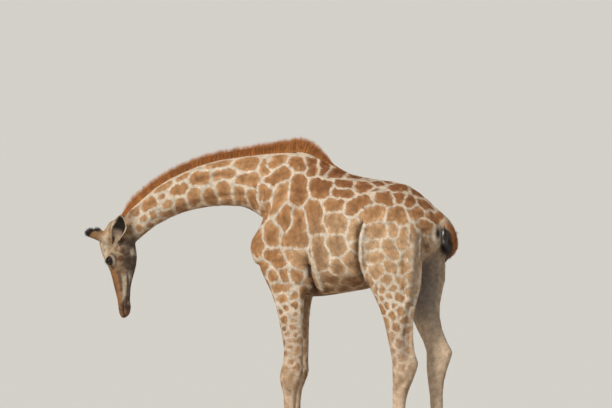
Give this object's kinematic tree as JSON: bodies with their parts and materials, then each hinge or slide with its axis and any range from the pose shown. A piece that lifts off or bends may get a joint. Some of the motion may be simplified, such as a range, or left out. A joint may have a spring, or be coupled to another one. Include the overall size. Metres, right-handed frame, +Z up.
{
  "type": "giraffe",
  "caption": "Young female giraffe standing as a still life-size model, its maned neck arched forward and down, its head hanging and its tail swung to the far side.",
  "frame": {"origin": "on the floor, under the middle of the model's box", "axes": "+Z up; the animal faces -X, and its left side is -Y"},
  "size_m": [2.826, 0.6716, 2.5846],
  "materials": {
    "coat": "short flat hair, tan patches on a cream ground",
    "mane": "stiff upright orange-brown hair",
    "black_hair": "long coarse black hair",
    "ear": "thin skin with short pale hair, dark inside",
    "horn": "dull grey-brown hoof horn",
    "eye": "wet dark brown"
  },
  "bodies": {
    "root": {"head": "coat", "neck": "coat", "trunk": "coat", "tail": "coat", "mane": "mane", "tail_tuft": "black_hair", "foreleg_left": "coat", "hindleg_left": "coat", "ear_left": "ear", "eye_left": "eye", "ossicone_left": "coat", "hoof_fore_left_outer": "horn", "hoof_fore_left_inner": "horn", "hoof_hind_left_outer": "horn", "hoof_hind_left_inner": "horn", "foreleg_right": "coat", "hindleg_right": "coat", "ear_right": "ear", "eye_right": "eye", "ossicone_right": "coat", "hoof_fore_right_outer": "horn", "hoof_fore_right_inner": "horn", "hoof_hind_right_outer": "horn", "hoof_hind_right_inner": "horn"}
  },
  "joints": []
}
